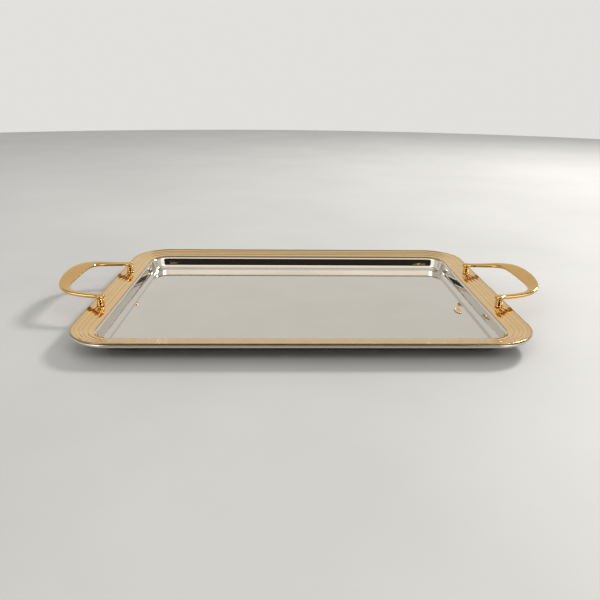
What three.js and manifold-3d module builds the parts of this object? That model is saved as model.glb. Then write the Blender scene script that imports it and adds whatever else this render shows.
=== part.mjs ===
// Serving tray: a drawn steel pan with a gold-plated reeded border and two gold bow handles.
// Millimetres, +Z up. The origin is the centre of the floor's underside, X runs along the tray
// through both handles and Y runs across it.
import * as THREE from 'three';
import { mergeVertices } from 'three/addons/utils/BufferGeometryUtils.js';
import Module from 'manifold-3d';

const wasm = await Module();
wasm.setup();

const degrees = THREE.MathUtils.degToRad;

// Driving dimensions of the whole tray. An inset is measured inwards from the border's outer edge.
const TRAY_LENGTH = 450;
const TRAY_WIDTH = 320;
const CORNER_RADIUS = 45;
const RIM_HEIGHT = 20;
const GAP = 0.3; // clearance left between pieces that touch
const CUT_MARGIN = 1; // how far a cutter reaches past what it cuts

// Facets.
const CORNER_STEPS = 8; // round each corner of the tray
const ROUND_SIDES = 16; // round each post, screw, washer and bore
const SECTION_SIDES = 12; // round a bow's section
const STRAP_STATIONS = 36; // along a bow
const SHEET_DIVISIONS = 2; // of each curve in the pan's profile
const BORDER_DIVISIONS = 4; // of each reed, and half of those of each arc of the bead
const TURNED_DIVISIONS = 3; // of each curve in a turned profile

// Pan: one sheet. Its radii are those of the middle of the sheet.
const SHEET = 1;
const FLOOR_INSET = 31.6;
const COVE_RADIUS = 6;
const WALL_DRAFT = degrees(12);
const SHOULDER_RADIUS = 2.4;
const FLANGE_SLOPE = degrees(11);
const HEM_TOP = RIM_HEIGHT - 1.55;
const HEM_INSET = 0.4;
const BEND_RADIUS = 1;
const SKIRT_DROP = 0.3;
const CURL_RADIUS = 1.5;
const CURL_TURN = degrees(155);

// Border: a moulding with an outer bead and reeds that step down to its inner edge. The bead is a
// steep outer face and a tight crest.
const FACE_RADIUS = 2.4;
const FACE_START = degrees(8);
const FACE_END = degrees(34);
const CREST_RADIUS = 0.5;
const CREST_TURN = degrees(105);
const GROOVE_INSETS = [4.3, 8.5, 12, 16.5, 22.8];
const FIRST_GROOVE_DROP = 1; // how far a groove lies below the crest
const LAST_GROOVE_DROP = 4.9;
const REED_RISE = 0.055; // as a share of a reed's width
const BORDER_WIDTH = GROOVE_INSETS[GROOVE_INSETS.length - 1];

// Posts, with the screw, washer and bores on their axes.
const POST_X = TRAY_LENGTH / 2 - 10.5;
const POST_Y = 59;
const SEAT_HEIGHT = RIM_HEIGHT - 2.3;
const SEAT_RADIUS = 4.6;
const POST_TOP = RIM_HEIGHT + 5.8;
const FOOT_RADIUS = 4.2;
const BODY_RADIUS = 3.7;
const NECK_RADIUS = 3;
const NECK_HEIGHT = 0.9;
const FOOT_EDGE = 0.5; // height of the foot's straight side
const FLARE_BEND = 1; // height at which the foot's flare meets the line of the body
const FLARE_TOP = 2.2;
const BODY_EDGE = 1; // rounding of the body's top
const BORE_RADIUS = 2.3;
const SHANK_RADIUS = 2;
const HEAD_RADIUS = 3.8;
const HEAD_HEIGHT = 2.2;
const HEAD_EDGE = 1.2;
const TIP_CHAMFER = 0.5;
const SLOT_WIDTH = 1;
const SLOT_DEPTH = 0.9;
const WASHER_RADIUS = 5;
const WASHER_BOTTOM = RIM_HEIGHT - 6.7;
const PAD_BORE_DEPTH = 2.8;

// Handles: a bow swept along a curve, which widens and tilts towards its middle.
const PAD_RADIUS = 5.2;
const PAD_EDGE = 1.4;
const STRAP_THICKNESS = 4.1;
const STRAP_END_WIDTH = 7;
const STRAP_MID_WIDTH = 14.5;
const STRAP_TILT = degrees(32);
const STRAP_END_HEIGHT = POST_TOP + GAP + STRAP_THICKNESS / 2;
const STRAP_MID_HEIGHT = STRAP_END_HEIGHT + 6.1;
const BOW_MID_X = 263;
const BOW_END_REACH = 40; // how far the bow runs straight out before it turns
const BOW_MID_REACH = 54; // and how far it runs along its middle
const BOW_PINCH = 6; // how far it closes in towards its middle
const SQUARENESS = 0.7; // 1 makes the bow's section an ellipse, and less squares it up

// Badge: a plain oval plate on the floor, near the right handle.
const BADGE_X = 180;
const BADGE_Y = -31;
const BADGE_LENGTH = 16;
const BADGE_WIDTH = 7.5;
const BADGE_THICKNESS = 0.5;
const BADGE_CROWN_WIDTH = 5; // where the badge's rounded edge meets its top

const GOLD = { color: 0xd2a24c, roughness: 0.12, metalness: 1 };
const STEEL = { color: 0xd6d3cc, roughness: 0.06, metalness: 1 };
const ZINC = { color: 0xb4b6b8, roughness: 0.35, metalness: 1 };

// ---- Solids ----------------------------------------------------------------------------------

function solidOf(geometry) {
  const bare = geometry.clone();
  bare.deleteAttribute('normal');
  bare.deleteAttribute('uv');
  const merged = mergeVertices(bare, 1e-3);
  return new wasm.Manifold(new wasm.Mesh({
    numProp: 3,
    vertProperties: merged.attributes.position.array,
    triVerts: new Uint32Array(merged.index.array),
  }));
}

function geometryOf(solid) {
  const mesh = solid.getMesh();
  const geometry = new THREE.BufferGeometry();
  geometry.setAttribute('position', new THREE.BufferAttribute(mesh.vertProperties, 3));
  geometry.setIndex(new THREE.BufferAttribute(mesh.triVerts, 1));
  geometry.computeVertexNormals();
  return geometry;
}

function named(name, geometry, finish) {
  const mesh = new THREE.Mesh(geometry, new THREE.MeshStandardMaterial(finish));
  mesh.name = name;
  return mesh;
}

// Points of a path, without the repeats that joined curves leave.
function outlinePoints(path, divisions) {
  const tiny = 1e-6;
  return path.getPoints(divisions).filter(
    (point, i, all) => i === 0 || point.distanceTo(all[i - 1]) > tiny,
  );
}

// An upright cylinder between two heights.
function uprightCylinder(radius, bottom, top) {
  const geometry = new THREE.CylinderGeometry(radius, radius, top - bottom, ROUND_SIDES);
  geometry.rotateX(Math.PI / 2);
  geometry.translate(0, 0, (bottom + top) / 2);
  return geometry;
}

// A profile of (radius, height) points turned about the Z axis.
function turned(profile) {
  const geometry = new THREE.LatheGeometry(profile, ROUND_SIDES);
  geometry.rotateX(Math.PI / 2);
  return geometry;
}

// Sweeps a profile round the tray's rounded rectangle. The profile's x is CORNER_RADIUS less the
// inset, and a point on its axis goes to the tray's centre.
function sweptRoundTray(profile) {
  const perCorner = CORNER_STEPS + 1;
  const columns = 4 * perCorner;
  const geometry = new THREE.LatheGeometry(profile, columns);
  const position = geometry.attributes.position;
  for (let column = 0; column <= columns; column++) {
    const corner = Math.floor(column / perCorner) % 4;
    const turn = (corner + (column % perCorner) / CORNER_STEPS) * Math.PI / 2;
    const centreX = (corner === 0 || corner === 3 ? 1 : -1) * (TRAY_LENGTH / 2 - CORNER_RADIUS);
    const centreY = (corner < 2 ? 1 : -1) * (TRAY_WIDTH / 2 - CORNER_RADIUS);
    profile.forEach((point, row) => {
      const reach = point.x > 0 ? 1 : 0;
      position.setXYZ(
        column * profile.length + row,
        reach * centreX + point.x * Math.cos(turn),
        reach * centreY + point.x * Math.sin(turn),
        point.y,
      );
    });
  }
  geometry.computeVertexNormals();
  return geometry;
}

// The four post positions, as the signs of X and Y with the words for them.
const POSTS = [
  { side: -1, end: -1, label: 'left_front' },
  { side: -1, end: 1, label: 'left_rear' },
  { side: 1, end: -1, label: 'right_front' },
  { side: 1, end: 1, label: 'right_rear' },
];

// Takes an upright cylinder out of a solid at each post.
function boredAtPosts(solid, radius, bottom, top) {
  return POSTS.reduce((left, post) => {
    const drill = uprightCylinder(radius, bottom, top);
    drill.translate(post.side * POST_X, post.end * POST_Y, 0);
    return left.subtract(solidOf(drill));
  }, solid);
}

// ---- Pan -------------------------------------------------------------------------------------

const cove = new THREE.Vector2(CORNER_RADIUS - FLOOR_INSET, SHEET / 2 + COVE_RADIUS);
const bend = new THREE.Vector2(
  CORNER_RADIUS - HEM_INSET - SHEET / 2 - BEND_RADIUS,
  HEM_TOP - SHEET / 2 - BEND_RADIUS,
);
const curl = new THREE.Vector2(
  CORNER_RADIUS - HEM_INSET - SHEET / 2 - CURL_RADIUS,
  bend.y - SKIRT_DROP,
);

// The shoulder touches both the flange and the wall, so its place follows from theirs.
const alongFlange = new THREE.Vector2(Math.cos(FLANGE_SLOPE), Math.sin(FLANGE_SLOPE));
const aboveFlange = new THREE.Vector2(-alongFlange.y, alongFlange.x);
const outOfWall = new THREE.Vector2(Math.cos(WALL_DRAFT), -Math.sin(WALL_DRAFT));
const shoulderAtBend = bend.clone().addScaledVector(aboveFlange, BEND_RADIUS - SHOULDER_RADIUS);
const wallReach = outOfWall.dot(cove) + COVE_RADIUS + SHOULDER_RADIUS;
const flangeLength = (outOfWall.dot(shoulderAtBend) - wallReach) / outOfWall.dot(alongFlange);
const shoulder = shoulderAtBend.addScaledVector(alongFlange, -flangeLength);

// Height of the flange's top face at an inset.
function flangeTop(inset) {
  const start = bend.clone().addScaledVector(aboveFlange, BEND_RADIUS + SHEET / 2);
  return start.y + (CORNER_RADIUS - inset - start.x) * Math.tan(FLANGE_SLOPE);
}

// One face of the sheet, from the middle of the floor out to the curled edge.
function sheetFace(offset) {
  const flangeTurn = Math.PI / 2 + FLANGE_SLOPE;
  const face = new THREE.Path();
  face.moveTo(0, SHEET / 2 + offset);
  face.lineTo(cove.x, SHEET / 2 + offset);
  face.absarc(cove.x, cove.y, COVE_RADIUS - offset, -Math.PI / 2, -WALL_DRAFT, false);
  face.absarc(
    shoulder.x, shoulder.y, SHOULDER_RADIUS + offset, Math.PI - WALL_DRAFT, flangeTurn, true,
  );
  face.absarc(bend.x, bend.y, BEND_RADIUS + offset, flangeTurn, 0, true);
  face.absarc(curl.x, curl.y, CURL_RADIUS + offset, 0, -CURL_TURN, true);
  return outlinePoints(face, SHEET_DIVISIONS);
}

function makePan() {
  const underside = sheetFace(-SHEET / 2);
  const topside = sheetFace(SHEET / 2).reverse();
  const solid = solidOf(sweptRoundTray([...underside, ...topside]));
  const bored = boredAtPosts(solid, BORE_RADIUS, WASHER_BOTTOM, RIM_HEIGHT);
  return named('tray_pan', geometryOf(bored), STEEL);
}

// ---- Border ----------------------------------------------------------------------------------

// Where the reeds meet, from the bead's inner side to the inner edge.
function borderGrooves() {
  const first = GROOVE_INSETS[0];
  return GROOVE_INSETS.map((inset) => {
    const share = (inset - first) / (BORDER_WIDTH - first);
    const drop = THREE.MathUtils.lerp(FIRST_GROOVE_DROP, LAST_GROOVE_DROP, share);
    return new THREE.Vector2(CORNER_RADIUS - inset, RIM_HEIGHT - drop);
  });
}

function borderProfile() {
  const underBead = HEM_TOP + GAP;
  const innerX = CORNER_RADIUS - BORDER_WIDTH;
  const innerBottom = flangeTop(BORDER_WIDTH) + GAP;
  const faceX = CORNER_RADIUS - FACE_RADIUS * Math.cos(FACE_START);
  const crestY = RIM_HEIGHT - CREST_RADIUS;
  const crestX = faceX + (FACE_RADIUS - CREST_RADIUS) * Math.cos(FACE_END);
  const faceY = crestY - (FACE_RADIUS - CREST_RADIUS) * Math.sin(FACE_END);
  const grooves = borderGrooves();

  const outline = new THREE.Path();
  outline.moveTo(innerX, innerBottom);
  outline.lineTo(bend.x, underBead);
  outline.absarc(faceX, faceY, FACE_RADIUS, FACE_START, FACE_END, false);
  outline.absarc(crestX, crestY, CREST_RADIUS, FACE_END, CREST_TURN, false);
  const backStart = outline.currentPoint.clone();
  const backReach = (backStart.x - grooves[0].x) / 2;
  const backControl = backStart.clone();
  backControl.x -= backReach;
  backControl.y -= backReach * Math.tan(CREST_TURN - Math.PI / 2);
  outline.quadraticCurveTo(backControl.x, backControl.y, grooves[0].x, grooves[0].y);
  for (let reed = 1; reed < grooves.length; reed++) {
    const start = grooves[reed - 1];
    const end = grooves[reed];
    const across = end.clone().sub(start);
    const crown = new THREE.Vector2(across.y, -across.x).multiplyScalar(2 * REED_RISE);
    const control = start.clone().lerp(end, 0.5).add(crown);
    outline.quadraticCurveTo(control.x, control.y, end.x, end.y);
  }
  outline.lineTo(innerX, innerBottom);
  return outlinePoints(outline, BORDER_DIVISIONS);
}

function makeBorder() {
  const whole = solidOf(sweptRoundTray(borderProfile()));
  const seated = boredAtPosts(whole, SEAT_RADIUS, SEAT_HEIGHT, POST_TOP);
  const bored = boredAtPosts(seated, BORE_RADIUS, WASHER_BOTTOM, POST_TOP);
  return named('border_frame', geometryOf(bored), GOLD);
}

// ---- Posts and their fasteners -----------------------------------------------------------------

function makePost(label) {
  const bottom = SEAT_HEIGHT + GAP;
  const neckBottom = POST_TOP - NECK_HEIGHT;
  const profile = new THREE.Path();
  profile.moveTo(BORE_RADIUS, bottom);
  profile.lineTo(FOOT_RADIUS, bottom);
  profile.lineTo(FOOT_RADIUS, bottom + FOOT_EDGE);
  profile.quadraticCurveTo(BODY_RADIUS, bottom + FLARE_BEND, BODY_RADIUS, bottom + FLARE_TOP);
  profile.lineTo(BODY_RADIUS, neckBottom - BODY_EDGE);
  profile.quadraticCurveTo(BODY_RADIUS, neckBottom, NECK_RADIUS, neckBottom);
  profile.lineTo(NECK_RADIUS, POST_TOP);
  profile.lineTo(BORE_RADIUS, POST_TOP);
  profile.lineTo(BORE_RADIUS, bottom);
  return named(`handle_post_${label}`, turned(outlinePoints(profile, TURNED_DIVISIONS)), GOLD);
}

// A washer whose upper face leans with the flange; side is the sign of X on its end of the tray.
function makeWasher(label, side) {
  const top = flangeTop(TRAY_LENGTH / 2 - POST_X) - SHEET / Math.cos(FLANGE_SLOPE) - GAP;
  const profile = [
    new THREE.Vector2(BORE_RADIUS, WASHER_BOTTOM),
    new THREE.Vector2(WASHER_RADIUS, WASHER_BOTTOM),
    new THREE.Vector2(WASHER_RADIUS, top),
    new THREE.Vector2(BORE_RADIUS, top),
    new THREE.Vector2(BORE_RADIUS, WASHER_BOTTOM),
  ];
  const geometry = turned(profile);
  const position = geometry.attributes.position;
  const middle = (WASHER_BOTTOM + top) / 2;
  for (let i = 0; i < position.count; i++) {
    if (position.getZ(i) > middle) {
      position.setZ(i, top + side * position.getX(i) * Math.tan(FLANGE_SLOPE));
    }
  }
  geometry.computeVertexNormals();
  return named(`taper_washer_${label}`, geometry, ZINC);
}

function makeScrew(label) {
  const headTop = WASHER_BOTTOM - GAP;
  const headBottom = headTop - HEAD_HEIGHT;
  const tip = POST_TOP + PAD_BORE_DEPTH; // GAP short of the end of its bore
  const profile = new THREE.Path();
  profile.moveTo(0, headBottom);
  profile.lineTo(HEAD_RADIUS - HEAD_EDGE, headBottom);
  profile.quadraticCurveTo(HEAD_RADIUS, headBottom, HEAD_RADIUS, headBottom + HEAD_EDGE);
  profile.lineTo(HEAD_RADIUS, headTop);
  profile.lineTo(SHANK_RADIUS, headTop);
  profile.lineTo(SHANK_RADIUS, tip - TIP_CHAMFER);
  profile.lineTo(SHANK_RADIUS - TIP_CHAMFER, tip);
  profile.lineTo(0, tip);
  const slotLength = 2 * (HEAD_RADIUS + CUT_MARGIN);
  const slot = new THREE.BoxGeometry(slotLength, SLOT_WIDTH, 2 * SLOT_DEPTH);
  slot.translate(0, 0, headBottom);
  const solid = solidOf(turned(outlinePoints(profile, TURNED_DIVISIONS))).subtract(solidOf(slot));
  return named(`handle_screw_${label}`, geometryOf(solid), ZINC);
}

// ---- Handles -----------------------------------------------------------------------------------

// Half of the bow's middle line, from the front post to the middle of the bow.
const halfBow = new THREE.CubicBezierCurve3(
  new THREE.Vector3(POST_X, -POST_Y, STRAP_END_HEIGHT),
  new THREE.Vector3(POST_X + BOW_END_REACH, -POST_Y + BOW_PINCH, STRAP_END_HEIGHT),
  new THREE.Vector3(BOW_MID_X, -BOW_MID_REACH, STRAP_MID_HEIGHT),
  new THREE.Vector3(BOW_MID_X, 0, STRAP_MID_HEIGHT),
);

// The middle line and its heading for the right handle, at a share of the way from front to rear.
function bowAt(share) {
  const fromEnd = Math.min(share, 1 - share) * 2;
  const point = halfBow.getPointAt(fromEnd);
  const heading = halfBow.getTangentAt(fromEnd).setZ(0).normalize();
  if (share > 0.5) {
    point.y *= -1;
    heading.x *= -1;
  }
  return { point, heading };
}

// A squarish round section: squares the sine and cosine of a circle up towards its corners.
function squared(value) {
  return Math.sign(value) * Math.abs(value) ** SQUARENESS;
}

function makeStrap() {
  const geometry = new THREE.CylinderGeometry(1, 1, 1, SECTION_SIDES, STRAP_STATIONS);
  const position = geometry.attributes.position;
  for (let i = 0; i < position.count; i++) {
    const share = position.getY(i) + 0.5;
    const fullness = Math.sin(Math.PI * share) ** 2;
    const width = THREE.MathUtils.lerp(STRAP_END_WIDTH, STRAP_MID_WIDTH, fullness);
    const tilt = STRAP_TILT * fullness;
    const { point, heading } = bowAt(share);
    const across = squared(position.getX(i)) * width / 2;
    const above = squared(position.getZ(i)) * STRAP_THICKNESS / 2;
    const outwards = across * Math.cos(tilt) - above * Math.sin(tilt);
    position.setXYZ(
      i,
      point.x + heading.y * outwards,
      point.y - heading.x * outwards,
      point.z + across * Math.sin(tilt) + above * Math.cos(tilt),
    );
  }
  return solidOf(geometry);
}

// The round pad on the strap's end, over its post.
function makePad() {
  const bottom = POST_TOP + GAP;
  const top = bottom + STRAP_THICKNESS;
  const profile = new THREE.Path();
  profile.moveTo(0, bottom);
  profile.lineTo(PAD_RADIUS - PAD_EDGE, bottom);
  profile.quadraticCurveTo(PAD_RADIUS, bottom, PAD_RADIUS, bottom + PAD_EDGE);
  profile.lineTo(PAD_RADIUS, top - PAD_EDGE);
  profile.quadraticCurveTo(PAD_RADIUS, top, PAD_RADIUS - PAD_EDGE, top);
  profile.lineTo(0, top);
  return solidOf(turned(outlinePoints(profile, TURNED_DIVISIONS)));
}

function makeHandle(name, side) {
  const bottom = POST_TOP + GAP;
  const pad = makePad();
  const bore = solidOf(uprightCylinder(BORE_RADIUS, bottom - CUT_MARGIN, bottom + PAD_BORE_DEPTH));
  let solid = makeStrap();
  for (const end of [-1, 1]) {
    solid = solid.add(pad.translate(POST_X, end * POST_Y, 0));
    solid = solid.subtract(bore.translate(POST_X, end * POST_Y, 0));
  }
  const geometry = geometryOf(solid);
  if (side < 0) {
    geometry.rotateZ(Math.PI);
  }
  return named(name, geometry, GOLD);
}

// ---- Badge -------------------------------------------------------------------------------------

function makeBadge() {
  const bottom = SHEET + GAP;
  const top = bottom + BADGE_THICKNESS;
  const profile = new THREE.Path();
  profile.moveTo(0, bottom);
  profile.lineTo(BADGE_WIDTH / 2, bottom);
  profile.lineTo(BADGE_WIDTH / 2, bottom + BADGE_THICKNESS / 2);
  profile.quadraticCurveTo(BADGE_WIDTH / 2, top, BADGE_CROWN_WIDTH / 2, top);
  profile.lineTo(0, top);
  const geometry = turned(outlinePoints(profile, TURNED_DIVISIONS));
  geometry.scale(1, BADGE_LENGTH / BADGE_WIDTH, 1);
  geometry.translate(BADGE_X, BADGE_Y, 0);
  return named('floor_badge', geometry, GOLD);
}

// ---- Assembly ----------------------------------------------------------------------------------

const tray = new THREE.Group();
tray.add(makePan(), makeBorder());
tray.add(makeHandle('handle_strap_left', -1), makeHandle('handle_strap_right', 1));
for (const { side, end, label } of POSTS) {
  const fixing = new THREE.Group();
  fixing.position.set(side * POST_X, end * POST_Y, 0);
  fixing.add(makePost(label), makeWasher(label, side), makeScrew(label));
  tray.add(fixing);
}
tray.add(makeBadge());

export default tray;
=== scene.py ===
"""Looks of a serving tray: a mirror-polished steel pan, a gold reeded border and two gold handles.

Metres, +Z up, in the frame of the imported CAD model. Each CAD node is replaced by a smooth piece
with the same dimensions.
"""

from math import ceil, cos, exp, hypot, pi, radians, sin, tan

import bmesh
import bpy
from mathutils import Euler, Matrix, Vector


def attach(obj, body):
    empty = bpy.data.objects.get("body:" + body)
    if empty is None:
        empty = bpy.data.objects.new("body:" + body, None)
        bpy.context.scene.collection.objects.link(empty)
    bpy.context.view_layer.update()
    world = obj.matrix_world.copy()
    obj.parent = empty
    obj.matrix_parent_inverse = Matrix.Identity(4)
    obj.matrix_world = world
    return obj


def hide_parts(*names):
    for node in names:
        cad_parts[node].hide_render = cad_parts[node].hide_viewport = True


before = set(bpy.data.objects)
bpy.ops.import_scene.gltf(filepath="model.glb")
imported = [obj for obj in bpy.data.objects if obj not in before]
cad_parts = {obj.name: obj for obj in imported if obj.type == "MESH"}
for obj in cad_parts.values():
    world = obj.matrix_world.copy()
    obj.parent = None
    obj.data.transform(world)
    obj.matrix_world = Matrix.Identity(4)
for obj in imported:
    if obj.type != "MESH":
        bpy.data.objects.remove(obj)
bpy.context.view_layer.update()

# Driving dimensions of the whole tray. An inset is measured inwards from the border's outer edge.
TRAY_LENGTH = 0.450
TRAY_WIDTH = 0.320
CORNER_RADIUS = 0.045
RIM_HEIGHT = 0.020
GAP = 0.0003  # clearance between pieces that touch

# Pan: one sheet. Its radii are those of the middle of the sheet.
SHEET = 0.001
FLOOR_INSET = 0.0316
COVE_RADIUS = 0.006
WALL_DRAFT = radians(12)
SHOULDER_RADIUS = 0.0024
FLANGE_SLOPE = radians(11)
HEM_TOP = RIM_HEIGHT - 0.00155
HEM_INSET = 0.0004
BEND_RADIUS = 0.001
SKIRT_DROP = 0.0003
CURL_RADIUS = 0.0015
CURL_TURN = radians(155)
HEM_WIDTH = 0.003  # how far in from the outer edge the polish reaches underneath
UNDERSIDE_TILT = -0.1  # a face whose normal points lower than this is on the underside

# Border: a moulding with an outer bead and reeds that step down to its inner edge.
FACE_RADIUS = 0.0024
FACE_START = radians(8)
FACE_END = radians(34)
CREST_RADIUS = 0.0005
CREST_TURN = radians(105)
GROOVE_INSETS = (0.0043, 0.0085, 0.0120, 0.0165, 0.0228)
FIRST_GROOVE_DROP = 0.0010
LAST_GROOVE_DROP = 0.0049
REED_RISE = 0.055  # as a share of a reed's width
BORDER_WIDTH = GROOVE_INSETS[-1]
PAINTED_GROOVE_SHADE_WIDTH = 0.0004  # how far the painted shade of a groove reaches up its sides
# how dark the painted shade at a groove's bottom is, as a share of the full painted dark
PAINTED_GROOVE_SHADE = 0.3
PAINTED_SEAM_REFLECTION_WIDTH = 0.0018  # and how far the painted dark reflection along the seam below the bead reaches up it

# Posts, with the screw, washer and bores on their axes.
POST_X = TRAY_LENGTH / 2 - 0.0105
POST_Y = 0.059
SEAT_HEIGHT = RIM_HEIGHT - 0.0023
SEAT_RADIUS = 0.0046
POST_TOP = RIM_HEIGHT + 0.0058
FOOT_RADIUS = 0.0042
BODY_RADIUS = 0.0037
NECK_RADIUS = 0.003
NECK_HEIGHT = 0.0009
FOOT_ROUNDING = 0.0002
FOOT_EDGE = 0.0005  # height of the foot's straight side
FLARE_BEND = 0.001  # height of the control point that bends the foot's flare
FLARE_TOP = 0.0022
BODY_EDGE = 0.001  # rounding of the body's top
BORE_RADIUS = 0.0023
SHANK_RADIUS = 0.002
HEAD_RADIUS = 0.0038
HEAD_HEIGHT = 0.0022
HEAD_EDGE = 0.0012
SLOT_WIDTH = 0.001
SLOT_DEPTH = 0.0009
THREAD_PITCH = 0.0007
THREAD_LENGTH = 0.004  # below the top of the post
TIP_CHAMFER = 0.0005
WASHER_RADIUS = 0.005
WASHER_BOTTOM = RIM_HEIGHT - 0.0067
WASHER_EDGE = 0.0003
PAD_BORE_DEPTH = 0.0028

# Handles: a bow that widens and tilts towards its middle.
PAD_RADIUS = 0.0052
STRAP_THICKNESS = 0.0041
STRAP_END_WIDTH = 0.007
STRAP_MID_WIDTH = 0.0145
STRAP_TILT = radians(32)
STRAP_END_HEIGHT = POST_TOP + GAP + STRAP_THICKNESS / 2
STRAP_MID_HEIGHT = STRAP_END_HEIGHT + 0.0061
BOW_MID_X = 0.263
BOW_END_REACH = 0.040
BOW_MID_REACH = 0.054
BOW_PINCH = 0.006
SECTION_POWER = 2.86  # 2 makes the bow's section an ellipse, and more squares it up
PAD_BLEND = 8  # how tightly the strap's sides run into its round pads
TIP_POWER = 4  # how squarely the strap's thickness ends past a post

# Badge: a plain oval plate on the floor, near the right handle.
BADGE_X = 0.180
BADGE_Y = -0.031
BADGE_LENGTH = 0.016
BADGE_WIDTH = 0.0075
BADGE_THICKNESS = 0.0005
BADGE_BORDER = 0.0007
BADGE_RELIEF = 0.0002  # how far the field lies below the border's top

# Fineness of the meshes.
ARC_STEP = radians(5)
CORNER_STEPS = 32
STRAIGHT_STEP = 0.010
SUPPORT = 0.0003  # how near its end a straight gets an extra point, which keeps it flat
CURVE_STEPS = 8
BEAD_STEPS = 10
REED_STEPS = 12
ROUND_SIDES = 64
PIN_RADIUS = 0.0001  # of the small flat face on the axis of a solid turned piece
SECTION_SIDES = 48
BOW_SAMPLES = 400
STRAP_STEP = 0.0018
TIP_STEPS = 14
TIP_START = radians(3)  # turn round a pad's end at which its first section lies
CUT_MARGIN = 0.001  # how far a cutter starts outside the piece
SAME_PLACE = 1e-6
CREASE = radians(32)

# Studio. Turns are in degrees from +X, and each screen stands on the floor.
ROOM_COLOUR = (0.39, 0.39, 0.386, 1)
FLOOR_REACH = 6.0
SCREEN_STEPS = 48
PALE_CLOTH = (1.3, 1.28, 1.22, 1)
DARK_CLOTH = (0.028, 0.022, 0.017, 1)
BACKDROP_CLOTH = (0.76, 0.75, 0.73, 1)
SCREENS = (  # name, first and last turn, radius, height, colour, seen by the camera
    ("backdrop", 0, 360, 3.2, 3.0, BACKDROP_CLOTH, True),
    ("dark_cloth", 236, 304, 2.4, 1.9, DARK_CLOTH, False),
    ("left_cloth", 205, 236, 2.4, 1.6, PALE_CLOTH, False),
    ("right_cloth", 304, 335, 2.4, 1.6, PALE_CLOTH, False),
)
WARM_WHITE = (1.0, 0.98, 0.95)
NEUTRAL_WHITE = (1.0, 0.99, 0.97)
WINDOW_WHITE = (1.0, 0.97, 0.92)
LAMPS = (  # name, place, size, watts, colour
    ("front_softbox", (0, -1.5, 1.9), (2.6, 1.2), 7.5, WARM_WHITE),
    ("overhead_softbox", (0, 0, 2.4), (2.2, 2.0), 9, NEUTRAL_WHITE),
    ("left_key", (-1.5, -1.5, 1.6), (1.1, 1.1), 11, WARM_WHITE),
    ("right_key", (1.5, -1.5, 1.6), (1.1, 1.1), 11, WARM_WHITE),
    ("rear_window", (1.6, 1.3, 1.7), (0.5, 0.5), 55, WINDOW_WHITE),
)

# Camera. Its lens and sensor are in millimetres, and its turns in radians.
CAMERA_PLACE = (-0.01518, -0.61051, 0.21302 + RIM_HEIGHT)
CAMERA_YAW = -0.0247
CAMERA_PITCH = 0.3616  # downwards from level
CAMERA_ROLL = 0.0111
CAMERA_LENS = 32.884
SENSOR_WIDTH = 36
NEAREST_SEEN = 0.01

# ---- Profiles, as points of (distance out, height) ---------------------------------------------


def spread(start, end, count):
    """Numbers from start to end in a count of equal steps."""
    return [start + (end - start) * n / count for n in range(count + 1)]


def arc(centre, radius, start, end):
    """Points on an arc, its ends included."""
    count = max(3, ceil(abs(end - start) / ARC_STEP))
    return [centre + radius * Vector((cos(a), sin(a))) for a in spread(start, end, count)]


def curve(start, control, end, count=CURVE_STEPS):
    """Points on a quadratic curve, its ends included."""
    return [
        start * (1 - t) ** 2 + control * 2 * t * (1 - t) + end * t**2
        for t in spread(0, 1, count)
    ]


def joined(*parts):
    """One path through the parts, with support points near the ends of each straight between."""
    path = []
    for part in parts:
        if path:
            straight = part[0] - path[-1]
            if straight.length > 3 * SUPPORT:
                nudge = straight.normalized() * SUPPORT
                path += [path[-1] + nudge, part[0] - nudge]
        for point in part:
            if not path or (point - path[-1]).length > SAME_PLACE:
                path.append(point)
    return path


def points(*pairs):
    return [Vector(pair) for pair in pairs]


# ---- Meshes --------------------------------------------------------------------------------------


def skin(name, rings, wrapped=False):
    """A closed mesh through rings. Its end rings are joined if wrapped, or else filled."""
    count = len(rings[0])
    vertices = [point for ring in rings for point in ring]
    faces = []
    for row in range(len(rings) if wrapped else len(rings) - 1):
        here, there = row * count, (row + 1) % len(rings) * count
        for k in range(count):
            after = (k + 1) % count
            faces.append((here + k, here + after, there + after, there + k))
    if not wrapped:
        faces.append(tuple(range(count)))
        faces.append(tuple(range(len(vertices) - count, len(vertices))))
    mesh = bpy.data.meshes.new(name)
    mesh.from_pydata(vertices, [], faces)
    shape = bmesh.new()
    shape.from_mesh(mesh)
    bmesh.ops.recalc_face_normals(shape, faces=shape.faces)
    shape.to_mesh(mesh)
    shape.free()
    piece = bpy.data.objects.new(name, mesh)
    bpy.context.scene.collection.objects.link(piece)
    return piece


def circle(centre, radius, height, stretch=1.0):
    """A level ring of points, stretched along Y."""
    turns = [2 * pi * k / ROUND_SIDES for k in range(ROUND_SIDES)]
    return [
        Vector((centre[0] + radius * cos(t), centre[1] + radius * sin(t) * stretch, height))
        for t in turns
    ]


def turned(name, profile, centre, wrapped=False, stretch=1.0):
    """A profile of (radius, height) points turned about an upright axis."""
    return skin(name, [circle(centre, x, z, stretch) for x, z in profile], wrapped)


def cut(piece, cutters):
    """Takes the cutters out of the piece."""
    for cutter in cutters:
        modifier = piece.modifiers.new("cut", "BOOLEAN")
        modifier.operation = "DIFFERENCE"
        modifier.solver = "EXACT"
        modifier.object = cutter
    depsgraph = bpy.context.evaluated_depsgraph_get()
    piece.data = bpy.data.meshes.new_from_object(piece.evaluated_get(depsgraph))
    piece.modifiers.clear()
    for cutter in cutters:
        bpy.data.objects.remove(cutter)


def drills(radius, bottom, top, posts):
    """Cutters on the axes of the posts."""
    profile = points((radius, bottom), (radius, top))
    return [turned("drill", profile, (post["x"], post["y"])) for post in posts]


def dressed(piece, slot, nodes, *materials):
    """Gives a piece its materials and shading, and ties it to the CAD."""
    piece.data.materials.clear()
    for material in materials:
        piece.data.materials.append(material)
    piece.data.shade_smooth()
    piece.data.set_sharp_from_angle(angle=CREASE)
    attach(piece, "root")
    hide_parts(*nodes)
    return piece


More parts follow.
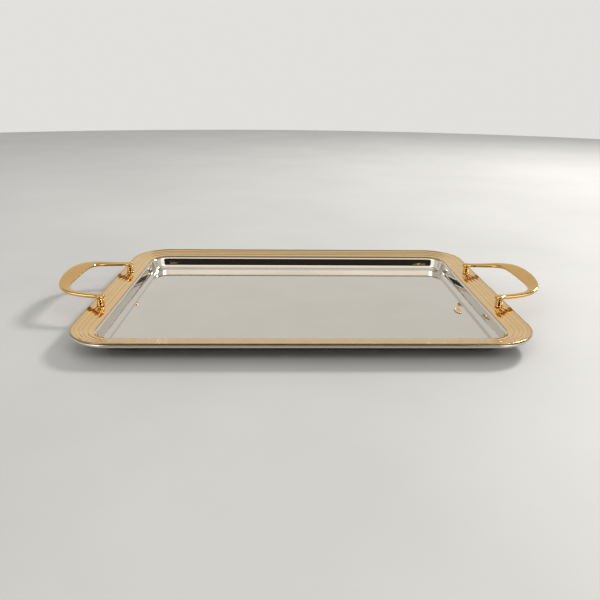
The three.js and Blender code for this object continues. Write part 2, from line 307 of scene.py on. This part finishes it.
def tray_columns():
    """Pairs of (base, outward) round the tray: the profile's x is measured outward from base."""
    half_x = TRAY_LENGTH / 2 - CORNER_RADIUS
    half_y = TRAY_WIDTH / 2 - CORNER_RADIUS
    corners = points((half_x, half_y), (-half_x, half_y), (-half_x, -half_y), (half_x, -half_y))
    columns = []
    for i, corner in enumerate(corners):
        for turn in spread(i * pi / 2, (i + 1) * pi / 2, CORNER_STEPS):
            columns.append((corner, Vector((cos(turn), sin(turn)))))
        outward = columns[-1][1]
        run = corners[(i + 1) % 4] - corner
        count = ceil(run.length / STRAIGHT_STEP)
        near_end = SUPPORT / run.length
        shares = [near_end, *spread(0, 1, count)[1:-1], 1 - near_end]
        columns += [(corner + run * share, outward) for share in shares]
    return columns


def round_tray(name, profile, wrapped=False):
    """Sweeps a profile round the tray. Its x is CORNER_RADIUS less the inset."""
    columns = tray_columns()
    rings = [
        [(base + outward * x).to_3d() + Vector((0, 0, z)) for base, outward in columns]
        for x, z in profile
    ]
    return skin(name, rings, wrapped)


def profile_x(point):
    """The profile's x at a point of a swept mesh."""
    past_x = max(abs(point.x) - (TRAY_LENGTH / 2 - CORNER_RADIUS), 0)
    past_y = max(abs(point.y) - (TRAY_WIDTH / 2 - CORNER_RADIUS), 0)
    return hypot(past_x, past_y)


POSTS = [
    {"x": side * POST_X, "y": end * POST_Y, "side": side, "label": f"{hand}_{place}"}
    for side, hand in ((-1, "left"), (1, "right"))
    for end, place in ((-1, "front"), (1, "rear"))
]

# ---- Pan -----------------------------------------------------------------------------------------

COVE = Vector((CORNER_RADIUS - FLOOR_INSET, SHEET / 2 + COVE_RADIUS))
BEND = Vector(
    (CORNER_RADIUS - HEM_INSET - SHEET / 2 - BEND_RADIUS, HEM_TOP - SHEET / 2 - BEND_RADIUS)
)
CURL = Vector((CORNER_RADIUS - HEM_INSET - SHEET / 2 - CURL_RADIUS, BEND.y - SKIRT_DROP))


def shoulder_centre():
    """The shoulder touches both the flange and the wall, so its place follows from theirs."""
    along_flange = Vector((cos(FLANGE_SLOPE), sin(FLANGE_SLOPE)))
    above_flange = Vector((-along_flange.y, along_flange.x))
    out_of_wall = Vector((cos(WALL_DRAFT), -sin(WALL_DRAFT)))
    at_bend = BEND + above_flange * (BEND_RADIUS - SHOULDER_RADIUS)
    wall_reach = out_of_wall.dot(COVE) + COVE_RADIUS + SHOULDER_RADIUS
    length = (out_of_wall.dot(at_bend) - wall_reach) / out_of_wall.dot(along_flange)
    return at_bend - along_flange * length


def flange_top(inset):
    """Height of the flange's upper face at an inset."""
    reach = BEND_RADIUS + SHEET / 2
    x = BEND.x - reach * sin(FLANGE_SLOPE)
    z = BEND.y + reach * cos(FLANGE_SLOPE)
    return z + (CORNER_RADIUS - inset - x) * tan(FLANGE_SLOPE)


def sheet_face(offset):
    """One face of the sheet, from the floor's edge out to the curled edge."""
    flange_turn = pi / 2 + FLANGE_SLOPE
    level = SHEET / 2 + offset
    return joined(
        points((COVE.x - 2 * SUPPORT, level), (COVE.x - SUPPORT, level)),
        arc(COVE, COVE_RADIUS - offset, -pi / 2, -WALL_DRAFT),
        arc(shoulder_centre(), SHOULDER_RADIUS + offset, pi - WALL_DRAFT, flange_turn),
        arc(BEND, BEND_RADIUS + offset, flange_turn, 0),
        arc(CURL, CURL_RADIUS + offset, 0, -CURL_TURN),
    )


def make_pan(polished, satin):
    pan = round_tray("pan", [*sheet_face(-SHEET / 2), *reversed(sheet_face(SHEET / 2))])
    cut(pan, drills(BORE_RADIUS, WASHER_BOTTOM, RIM_HEIGHT, POSTS))
    dressed(pan, "polished_steel", ["tray_pan"], polished, satin)
    for face in pan.data.polygons:
        under = face.normal.z < UNDERSIDE_TILT
        if under and profile_x(face.center) < CORNER_RADIUS - HEM_WIDTH:
            face.material_index = 1


# ---- Border --------------------------------------------------------------------------------------


def border_grooves():
    """Where the reeds meet, from the bead's inner side to the inner edge."""
    first, last = GROOVE_INSETS[0], GROOVE_INSETS[-1]
    fall = (LAST_GROOVE_DROP - FIRST_GROOVE_DROP) / (last - first)
    return [
        Vector((CORNER_RADIUS - inset, RIM_HEIGHT - FIRST_GROOVE_DROP - (inset - first) * fall))
        for inset in GROOVE_INSETS
    ]


def border_profile():
    facing = Vector((cos(FACE_END), sin(FACE_END)))
    crest = Vector(
        (
            CORNER_RADIUS - FACE_RADIUS * cos(FACE_START) + (FACE_RADIUS - CREST_RADIUS) * facing.x,
            RIM_HEIGHT - CREST_RADIUS,
        )
    )
    face = crest - facing * (FACE_RADIUS - CREST_RADIUS)
    outer_face = arc(face, FACE_RADIUS, FACE_START, FACE_END)
    over_crest = arc(crest, CREST_RADIUS, FACE_END, CREST_TURN)
    grooves = border_grooves()
    bead_end = over_crest[-1]
    along_end = Vector((-sin(CREST_TURN), cos(CREST_TURN)))
    reach = (bead_end.x - grooves[0].x) / -along_end.x / 2
    bead_back = curve(bead_end, bead_end + along_end * reach, grooves[0], BEAD_STEPS)
    reeds = []
    for start, end in zip(grooves, grooves[1:]):
        across = end - start
        crown = Vector((across.y, -across.x)) * 2 * REED_RISE
        reeds.append(curve(start, start.lerp(end, 0.5) + crown, end, REED_STEPS))
    under_bead = outer_face[0].y
    inner = Vector((grooves[-1].x, flange_top(BORDER_WIDTH) + GAP))
    return joined(
        [inner], points((BEND.x, under_bead)), outer_face, over_crest, bead_back, *reeds
    )


def make_border(gold):
    border = round_tray("border", border_profile(), wrapped=True)
    cut(border, drills(SEAT_RADIUS, SEAT_HEIGHT, POST_TOP, POSTS))
    cut(border, drills(BORE_RADIUS, WASHER_BOTTOM, POST_TOP, POSTS))
    dressed(border, "gold_border", ["border_frame"], gold)
    # Painted shade: darkens the gold in the grooves, and paints a dark reflection along the seam
    # below the bead
    painted_shade = border.data.attributes.new("painted_shade", "FLOAT", "POINT")
    grooves = border_grooves()
    # Centre of the painted dark reflection along the seam below the bead
    seam = Vector((CORNER_RADIUS, HEM_TOP + GAP))
    for vertex, value in zip(border.data.vertices, painted_shade.data):
        place = Vector((profile_x(vertex.co), vertex.co.z))
        from_groove = min((place - groove).length for groove in grooves)
        groove_shade = PAINTED_GROOVE_SHADE * exp(-from_groove / PAINTED_GROOVE_SHADE_WIDTH)
        seam_reflection = exp(-(((place - seam).length / PAINTED_SEAM_REFLECTION_WIDTH) ** 2))
        value.value = max(groove_shade, seam_reflection)


# ---- Posts and their fasteners -------------------------------------------------------------------


def make_post(post, gold):
    bottom = SEAT_HEIGHT + GAP
    neck_bottom = POST_TOP - NECK_HEIGHT
    rounding = points(
        (FOOT_RADIUS - FOOT_ROUNDING, bottom),
        (FOOT_RADIUS, bottom),
        (FOOT_RADIUS, bottom + FOOT_ROUNDING),
    )
    flare = points(
        (FOOT_RADIUS, bottom + FOOT_EDGE),
        (BODY_RADIUS, bottom + FLARE_BEND),
        (BODY_RADIUS, bottom + FLARE_TOP),
    )
    body_top = points(
        (BODY_RADIUS, neck_bottom - BODY_EDGE),
        (BODY_RADIUS, neck_bottom),
        (NECK_RADIUS, neck_bottom),
    )
    profile = joined(
        points((BORE_RADIUS, bottom)),
        curve(*rounding),
        curve(*flare),
        curve(*body_top),
        points((NECK_RADIUS, POST_TOP), (BORE_RADIUS, POST_TOP)),
    )
    piece = turned(f"post_{post['label']}", profile, (post["x"], post["y"]), wrapped=True)
    dressed(piece, "gold_handle", [f"handle_post_{post['label']}"], gold)


def make_washer(post, zinc):
    """A washer whose upper face leans with the flange."""
    inset = TRAY_LENGTH / 2 - POST_X
    top = flange_top(inset) - SHEET / cos(FLANGE_SLOPE) - GAP
    outline = points(
        (BORE_RADIUS, WASHER_BOTTOM),
        (WASHER_RADIUS - WASHER_EDGE, WASHER_BOTTOM),
        (WASHER_RADIUS, WASHER_BOTTOM + WASHER_EDGE),
        (WASHER_RADIUS, top - WASHER_EDGE),
        (WASHER_RADIUS - WASHER_EDGE, top),
        (BORE_RADIUS, top),
    )
    piece = turned(f"washer_{post['label']}", outline, (post["x"], post["y"]), wrapped=True)
    middle = (WASHER_BOTTOM + top) / 2
    for vertex in piece.data.vertices:
        if vertex.co.z > middle:
            vertex.co.z += post["side"] * (vertex.co.x - post["x"]) * tan(FLANGE_SLOPE)
    dressed(piece, "zinc_hardware", [f"taper_washer_{post['label']}"], zinc)


def thread_points(bottom, top):
    """A zigzag of crests and roots up the shank."""
    thread = []
    height = bottom
    while height < top - THREAD_PITCH:
        crest = (SHANK_RADIUS, height)
        root = (SHANK_RADIUS - THREAD_PITCH / 2, height + THREAD_PITCH / 2)
        thread += points(crest, root)
        height += THREAD_PITCH
    return thread


def make_slot(centre, height):
    """The cutter for a screw's slot."""
    half_length, half_width = HEAD_RADIUS + TIP_CHAMFER, SLOT_WIDTH / 2
    rings = [
        [
            Vector((centre[0] + x * half_length, centre[1] + y * half_width, z))
            for x, y in ((-1, -1), (1, -1), (1, 1), (-1, 1))
        ]
        for z in (height - SLOT_DEPTH, height + SLOT_DEPTH)
    ]
    return skin("slot", rings)


def make_screw(post, zinc):
    head_top = WASHER_BOTTOM - GAP
    head_bottom = head_top - HEAD_HEIGHT
    tip = POST_TOP + PAD_BORE_DEPTH
    head_edge = points(
        (HEAD_RADIUS - HEAD_EDGE, head_bottom),
        (HEAD_RADIUS, head_bottom),
        (HEAD_RADIUS, head_bottom + HEAD_EDGE),
    )
    profile = joined(
        points((PIN_RADIUS, head_bottom)),
        curve(*head_edge),
        points((HEAD_RADIUS, head_top), (SHANK_RADIUS, head_top)),
        thread_points(POST_TOP - THREAD_LENGTH, tip),
        points((SHANK_RADIUS - TIP_CHAMFER, tip), (PIN_RADIUS, tip)),
    )
    centre = (post["x"], post["y"])
    piece = turned(f"screw_{post['label']}", profile, centre)
    cut(piece, [make_slot(centre, head_bottom)])
    dressed(piece, "zinc_hardware", [f"handle_screw_{post['label']}"], zinc)


# ---- Handles -------------------------------------------------------------------------------------


def half_bow():
    """Pairs of (distance, place) along the bow's middle line, from the front post to halfway."""
    start = Vector((POST_X, -POST_Y, STRAP_END_HEIGHT))
    from_start = Vector((POST_X + BOW_END_REACH, -POST_Y + BOW_PINCH, STRAP_END_HEIGHT))
    to_end = Vector((BOW_MID_X, -BOW_MID_REACH, STRAP_MID_HEIGHT))
    end = Vector((BOW_MID_X, 0, STRAP_MID_HEIGHT))
    table = []
    along = 0
    for t in spread(0, 1, BOW_SAMPLES):
        s = 1 - t
        place = start * s**3 + from_start * 3 * s * s * t + to_end * 3 * s * t * t + end * t**3
        if table:
            along += (place - table[-1][1]).length
        table.append((along, place))
    return table


HALF_BOW = half_bow()
BOW_LENGTH = 2 * HALF_BOW[-1][0]


def bow_at(along):
    """The middle line's place and level heading. Past the posts it runs straight on."""
    from_end = min(along, BOW_LENGTH - along)
    after = 1
    while after < len(HALF_BOW) - 1 and HALF_BOW[after][0] < from_end:
        after += 1
    (near, near_place), (far, far_place) = HALF_BOW[after - 1], HALF_BOW[after]
    place = near_place.lerp(far_place, (from_end - near) / (far - near))
    heading = (far_place - near_place).to_2d().normalized()
    if along > BOW_LENGTH / 2:
        place.y *= -1
        heading.x *= -1
    return place, heading


def strap_stations():
    """Distances along the bow, closer together over the pads."""
    tip = [-PAD_RADIUS * cos(turn) for turn in spread(TIP_START, pi / 2, TIP_STEPS)]
    count = ceil(BOW_LENGTH / STRAP_STEP)
    middle = spread(0, BOW_LENGTH, count)[1:-1]
    return [*tip, *middle, *(BOW_LENGTH - along for along in reversed(tip))]


def strap_ring(along):
    """The bow's section at a distance from the front post."""
    from_end = min(along, BOW_LENGTH - along)
    share = max(from_end, 0) / BOW_LENGTH
    fullness = sin(pi * share) ** 2
    tilt = STRAP_TILT * fullness
    strap = (STRAP_END_WIDTH + (STRAP_MID_WIDTH - STRAP_END_WIDTH) * fullness) / 2
    strap *= min(1, 1 + from_end / PAD_RADIUS)
    over_pad = max(1 - (from_end / PAD_RADIUS) ** 2, 0)
    pad = PAD_RADIUS * over_pad**0.5
    half_width = (pad**PAD_BLEND + strap**PAD_BLEND) ** (1 / PAD_BLEND)
    past_post = min(max(-from_end / PAD_RADIUS, 0), 1)
    half_thickness = STRAP_THICKNESS / 2 * (1 - past_post**TIP_POWER) ** (1 / TIP_POWER)
    place, heading = bow_at(along)
    ring = []
    for k in range(SECTION_SIDES):
        c, s = cos(2 * pi * k / SECTION_SIDES), sin(2 * pi * k / SECTION_SIDES)
        reach = (abs(c) ** SECTION_POWER + abs(s) ** SECTION_POWER) ** (-1 / SECTION_POWER)
        across, above = c * reach * half_width, s * reach * half_thickness
        outwards = across * cos(tilt) - above * sin(tilt)
        rise = across * sin(tilt) + above * cos(tilt)
        ring.append(place + Vector((heading.y * outwards, -heading.x * outwards, rise)))
    return ring


def make_handle(side, hand, gold):
    rings = [strap_ring(along) for along in strap_stations()]
    for ring in rings:
        for point in ring:
            point.x *= side
            point.y *= side
    handle = skin(f"handle_{hand}", rings)
    posts = [post for post in POSTS if post["side"] == side]
    bottom = POST_TOP + GAP
    cut(handle, drills(BORE_RADIUS, bottom - CUT_MARGIN, bottom + PAD_BORE_DEPTH, posts))
    dressed(handle, "gold_handle", [f"handle_strap_{hand}"], gold)


# ---- Badge ---------------------------------------------------------------------------------------


def make_badge(gold):
    """An oval plate with a raised border and a low dome inside it."""
    bottom = SHEET + GAP
    top = bottom + BADGE_THICKNESS
    field = top - BADGE_RELIEF
    edge = BADGE_WIDTH / 2
    crest = edge - BADGE_BORDER / 2
    inside = edge - BADGE_BORDER
    profile = joined(
        points((PIN_RADIUS, bottom), (edge, bottom)),
        curve(*points((edge, field), (edge, top), (crest, top))),
        curve(*points((crest, top), (inside, top), (inside, field))),
        curve(*points((inside, field), (edge / 2, top), (PIN_RADIUS, top))),
    )
    stretch = BADGE_LENGTH / BADGE_WIDTH
    badge = turned("badge", profile, (BADGE_X, BADGE_Y), stretch=stretch)
    dressed(badge, "gold_border", ["floor_badge"], gold)


# ---- Materials -----------------------------------------------------------------------------------


class Graph:
    """A material's node tree, built one node at a time."""

    def __init__(self, name):
        self.material = bpy.data.materials.new(name)
        self.material.use_nodes = True
        self.tree = self.material.node_tree
        self.tree.nodes.clear()

    def add(self, kind, inputs=None, **settings):
        """A node of a kind. An input's value is a plain value or another node's output."""
        node = self.tree.nodes.new(f"ShaderNode{kind}")
        for key, value in settings.items():
            setattr(node, key, value)
        for key, value in (inputs or {}).items():
            if isinstance(value, bpy.types.NodeSocket):
                self.tree.links.new(value, node.inputs[key])
            else:
                node.inputs[key].default_value = value
        return node

    def noise(self, scale, detail=2.0, roughness=0.5, stretch=(1, 1, 1), turn=0.0):
        """Noise in the object's own metres, with features of about 1 / scale."""
        place = self.add("TexCoord").outputs["Object"]
        mapping = {"Vector": place, "Rotation": (0, 0, turn), "Scale": stretch}
        mapped = self.add("Mapping", mapping).outputs["Vector"]
        inputs = {"Vector": mapped, "Scale": scale, "Detail": detail, "Roughness": roughness}
        return self.add("TexNoise", inputs).outputs["Fac"]

    def ranged(self, value, low, high, from_low=0.3, from_high=0.7):
        """A value stretched to run from low to high."""
        inputs = {
            "Value": value,
            "From Min": from_low,
            "From Max": from_high,
            "To Min": low,
            "To Max": high,
        }
        return self.add("MapRange", inputs).outputs["Result"]

    def math(self, operation, first, second):
        return self.add("Math", {0: first, 1: second}, operation=operation).outputs["Value"]

    def mix(self, factor, first, second):
        """A colour between two, by a Mix node's sockets for colours: 6 and 7 in, and 2 out."""
        node = self.add("Mix", {0: factor, 6: first, 7: second}, data_type="RGBA")
        return node.outputs[2]

    def bump(self, height, distance, normal=None):
        """Lowers and raises the surface by distance, in metres, on top of another bump."""
        inputs = {"Height": height, "Distance": distance, "Strength": 1.0}
        if normal:
            inputs["Normal"] = normal
        return self.add("Bump", inputs).outputs["Normal"]

    def finish(self, colour, roughness, normal):
        inputs = {
            "Base Color": colour,
            "Metallic": 1.0,
            "Roughness": roughness,
            "Normal": normal,
        }
        surface = self.add("BsdfPrincipled", inputs).outputs["BSDF"]
        self.add("OutputMaterial", {"Surface": surface})
        return self.material


def make_polished_steel():
    """Mirror polish: faint waves, polishing hairlines and the dullness of wiped-off prints."""
    graph = Graph("mirror_steel")
    smears = graph.noise(14, detail=4, roughness=0.6)
    clean, smeared = (0.70, 0.665, 0.60, 1), (0.665, 0.63, 0.565, 1)
    colour = graph.mix(graph.ranged(smears, 0, 1), clean, smeared)
    roughness = graph.ranged(smears, 0.03, 0.075)
    normal = graph.bump(graph.noise(16, detail=1), 0.000008)
    for turn in (radians(12), radians(-24), radians(81)):
        hairlines = graph.noise(30, detail=3, roughness=0.7, stretch=(1, 40, 1), turn=turn)
        normal = graph.bump(hairlines, 0.0000006, normal)
    return graph.finish(colour, roughness, normal)


def make_satin_steel():
    """The underside, brushed along the tray and never polished out. Its colour is darker than bare
    steel, a painted shade under the rim.
    """
    graph = Graph("satin_steel")
    brushing = graph.noise(40, detail=5, roughness=0.7, stretch=(1, 45, 1))
    # Both colours lie below bare steel's tone: painted shade that deepens the shadow under the rim
    dark, light = (0.40, 0.39, 0.37, 1), (0.48, 0.47, 0.45, 1)
    colour = graph.mix(brushing, dark, light)
    roughness = graph.ranged(brushing, 0.24, 0.36)
    normal = graph.bump(brushing, 0.000004)
    return graph.finish(colour, roughness, normal)


def make_border_gold():
    """Pale gold plate in random worn patches, rougher in the grooves, with painted shade in the
    grooves and a painted dark reflection along the seam below the bead.
    """
    graph = Graph("border_gold")
    painted_shade = graph.add("Attribute", attribute_name="painted_shade").outputs["Fac"]
    mottle = graph.noise(90, detail=4, roughness=0.6)
    # The darkest colour is painted shade and painted reflection, laid on where the attribute says
    bright, worn, painted_dark = (0.85, 0.58, 0.265, 1), (0.80, 0.55, 0.26, 1), (0.11, 0.05, 0.013, 1)
    plate = graph.mix(graph.ranged(mottle, 0, 1), bright, worn)
    shade = graph.math("MULTIPLY", painted_shade, graph.ranged(mottle, 0.8, 1.0))
    colour = graph.mix(shade, plate, painted_dark)
    dull = graph.ranged(mottle, 0.045, 0.085)
    roughness = graph.math("ADD", dull, graph.math("MULTIPLY", painted_shade, 0.25))
    normal = graph.bump(graph.noise(60, detail=2), 0.000008)
    normal = graph.bump(graph.noise(900, detail=2), 0.0000008, normal)
    return graph.finish(colour, roughness, normal)


def make_handle_gold():
    """Warmer gold plate, with the soft waves of hand polishing and marks of handling."""
    graph = Graph("handle_gold")
    mottle = graph.noise(70, detail=4, roughness=0.6)
    bright, worn = (0.72, 0.44, 0.14, 1), (0.67, 0.405, 0.128, 1)
    colour = graph.mix(graph.ranged(mottle, 0, 1), bright, worn)
    roughness = graph.ranged(mottle, 0.04, 0.08)
    normal = graph.bump(graph.noise(60, detail=1), 0.000006)
    marks = graph.noise(160, detail=3, roughness=0.7, stretch=(1, 8, 1), turn=radians(35))
    normal = graph.bump(marks, 0.0000006, normal)
    return graph.finish(colour, roughness, normal)


def make_zinc():
    """Zinc plate: a fine spangle, with duller patches."""
    graph = Graph("zinc")
    place = graph.add("TexCoord").outputs["Object"]
    spangle = graph.add("TexVoronoi", {"Vector": place, "Scale": 1600.0}).outputs["Distance"]
    patches = graph.noise(400, detail=3)
    dull, bright = (0.52, 0.54, 0.56, 1), (0.68, 0.69, 0.70, 1)
    colour = graph.mix(patches, dull, bright)
    roughness = graph.ranged(spangle, 0.28, 0.46, 0, 1)
    normal = graph.bump(spangle, 0.00001)
    return graph.finish(colour, roughness, normal)


# ---- Stage ---------------------------------------------------------------------------------------


def emit(graph, colour):
    """Ends a graph in an even glow."""
    surface = graph.add("Emission", {"Color": colour, "Strength": 1.0}).outputs["Emission"]
    graph.add("OutputMaterial", {"Surface": surface})
    return graph.material


def stage_mesh(name, vertices, faces, material):
    """A piece of the studio, which isn't part of the tray."""
    mesh = bpy.data.meshes.new(name)
    mesh.from_pydata(vertices, [], faces)
    mesh.materials.append(material)
    piece = bpy.data.objects.new(name, mesh)
    bpy.context.scene.collection.objects.link(piece)
    return piece


def make_floor_paint():
    """Pale matt paint with faint clouding."""
    graph = Graph("floor_paint")
    cloud = graph.noise(3, detail=5, roughness=0.6)
    light, dark = (0.485, 0.483, 0.476, 1), (0.435, 0.433, 0.427, 1)
    colour = graph.mix(graph.ranged(cloud, 0, 1), light, dark)
    inputs = {"Base Color": colour, "Roughness": 0.6}
    surface = graph.add("BsdfPrincipled", inputs).outputs["BSDF"]
    graph.add("OutputMaterial", {"Surface": surface})
    return graph.material


def make_floor():
    """A pale tabletop, far wider than the view."""
    signs = ((-1, -1), (1, -1), (1, 1), (-1, 1))
    vertices = [(x * FLOOR_REACH, y * FLOOR_REACH, 0) for x, y in signs]
    stage_mesh("floor", vertices, [(0, 1, 2, 3)], make_floor_paint())


def make_screen(name, start, end, radius, height, colour, seen):
    """A curved standing cloth that glows evenly, between two turns about the tray."""
    turns = spread(radians(start), radians(end), SCREEN_STEPS)
    vertices = [(radius * cos(t), radius * sin(t), z) for z in (0, height) for t in turns]
    count = len(turns)
    faces = [(k, k + 1, k + 1 + count, k + count) for k in range(SCREEN_STEPS)]
    screen = stage_mesh(name, vertices, faces, emit(Graph(f"{name}_cloth"), colour))
    screen.visible_camera = seen


def make_lamp(name, place, size, watts, colour):
    """A rectangular lamp that faces the tray."""
    data = bpy.data.lights.new(name, "AREA")
    data.shape = "RECTANGLE"
    data.size, data.size_y = size
    data.energy = watts
    data.color = colour
    lamp = bpy.data.objects.new(name, data)
    lamp.location = place
    lamp.rotation_euler = (-Vector(place)).to_track_quat("-Z", "Y").to_euler()
    bpy.context.scene.collection.objects.link(lamp)


def make_room():
    world = bpy.data.worlds.new("room")
    world.use_nodes = True
    background = world.node_tree.nodes["Background"]
    background.inputs["Color"].default_value = ROOM_COLOUR
    background.inputs["Strength"].default_value = 1.0
    bpy.context.scene.world = world


def make_camera():
    data = bpy.data.cameras.new("camera")
    data.sensor_width = SENSOR_WIDTH
    data.lens = CAMERA_LENS
    data.clip_start = NEAREST_SEEN
    camera = bpy.data.objects.new("camera", data)
    aim = Euler((pi / 2 - CAMERA_PITCH, 0, CAMERA_YAW)).to_matrix()
    turn = aim @ Euler((0, 0, CAMERA_ROLL)).to_matrix()
    camera.rotation_euler = turn.to_euler()
    camera.location = CAMERA_PLACE
    bpy.context.scene.collection.objects.link(camera)
    bpy.context.scene.camera = camera


def corners(box):
    return [list(corner) for corner in box]


polished_steel, satin_steel = make_polished_steel(), make_satin_steel()
border_gold, handle_gold, zinc = make_border_gold(), make_handle_gold(), make_zinc()

make_pan(polished_steel, satin_steel)
make_border(border_gold)
make_handle(-1, "left", handle_gold)
make_handle(1, "right", handle_gold)
for post in POSTS:
    make_post(post, handle_gold)
    make_washer(post, zinc)
    make_screw(post, zinc)
make_badge(border_gold)

make_floor()
for screen in SCREENS:
    make_screen(*screen)
make_room()
for lamp in LAMPS:
    make_lamp(*lamp)
make_camera()
bpy.context.scene.view_settings.view_transform = "Standard"
